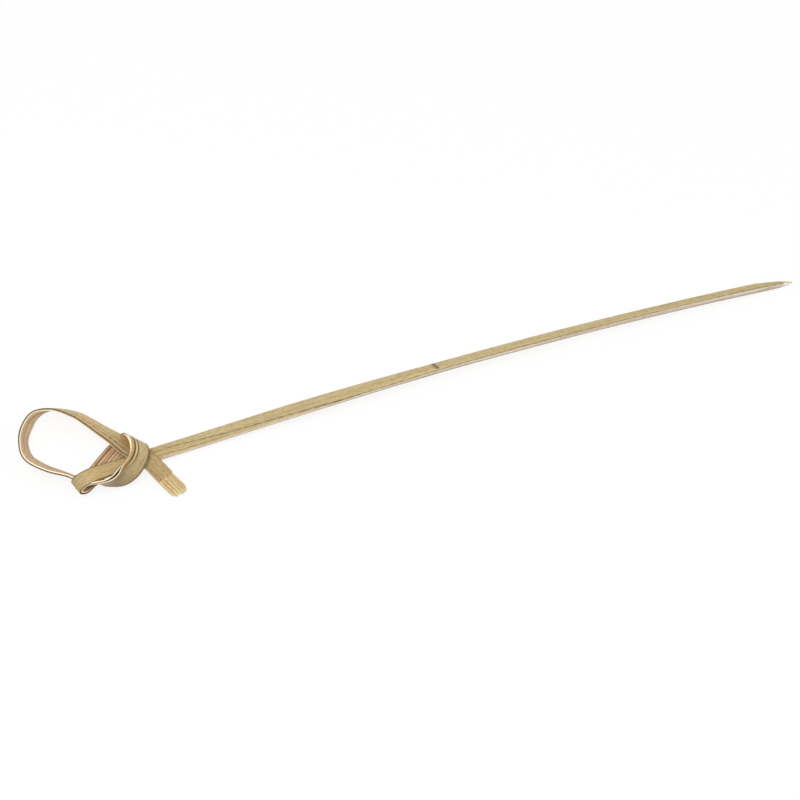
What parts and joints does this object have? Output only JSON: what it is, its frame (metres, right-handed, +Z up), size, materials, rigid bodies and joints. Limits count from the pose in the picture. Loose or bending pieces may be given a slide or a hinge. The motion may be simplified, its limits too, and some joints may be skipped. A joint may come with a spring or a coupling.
{
  "type": "knot pick",
  "caption": "Bamboo knot pick, 180 mm: a pointed flat shaft whose split head is tied in a slip knot with a loop and a short tail.",
  "frame": {"origin": "under the middle of the pick's bounding box, on the surface that it lies on", "axes": "+X along the shaft to its point, +Y to the side where the loop lies, +Z up out of the shaft's skin side"},
  "size_m": [0.1874, 0.0356, 0.0053],
  "materials": {
    "bamboo": "bare bamboo, skin side smooth, inner side fibrous"
  },
  "bodies": {
    "root": {"knot_pick": "bamboo"}
  },
  "joints": []
}
